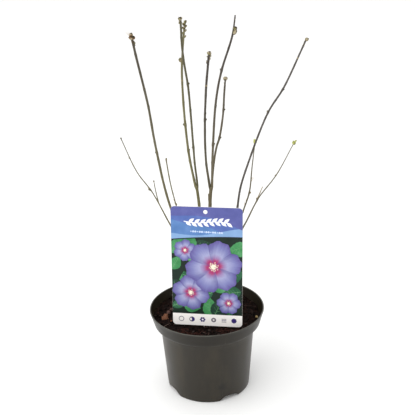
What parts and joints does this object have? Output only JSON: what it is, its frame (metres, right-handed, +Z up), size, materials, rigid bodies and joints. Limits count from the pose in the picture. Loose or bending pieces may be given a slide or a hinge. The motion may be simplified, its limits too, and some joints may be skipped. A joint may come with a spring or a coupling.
{
  "type": "potted hibiscus shrub",
  "caption": "Young leafless garden hibiscus: a short trunk forks into slender bare stems with buds at their tips, in a plain round nursery pot with a picture tag.",
  "frame": {"origin": "centre of the pot's flat underside", "axes": "+Z straight up; -Y towards the viewer, on the side of the tag's printed face; +X to the viewer's right"},
  "size_m": [0.2522, 0.17, 0.5638],
  "materials": {
    "pot": "dark grey, satin",
    "soil": "dark fibrous peat",
    "bark": "smooth grey-brown bark",
    "bud": "dull, finely rough",
    "leafbud": "dull green",
    "card": "printed card, soft gloss",
    "pin": "milky white"
  },
  "bodies": {
    "root": {"pot": "pot", "soil": "soil", "tag": "card", "tag_pin": "pin", "trunk": "bark", "bough_left": "bark", "bough_mid_left": "bark", "bough_centre": "bark", "bough_right": "bark", "arm_mid_left_tall": "bark", "arm_mid_left_front": "bark", "arm_centre_front": "bark", "arm_centre_tall": "bark", "arm_centre_back": "bark", "shoot_outer_left": "bark", "shoot_low_left": "bark", "shoot_low_right": "bark", "shoot_outer_right": "bark", "twig_left": "bud", "twig_right": "bud", "twig_mid_left_tall": "bud", "twig_mid_left_front": "bud", "twig_centre_front": "bud", "twig_centre_tall": "bud", "twig_centre_back": "bud", "leafbud_low_right": "leafbud", "leafbud_outer_right": "leafbud"}
  },
  "joints": []
}
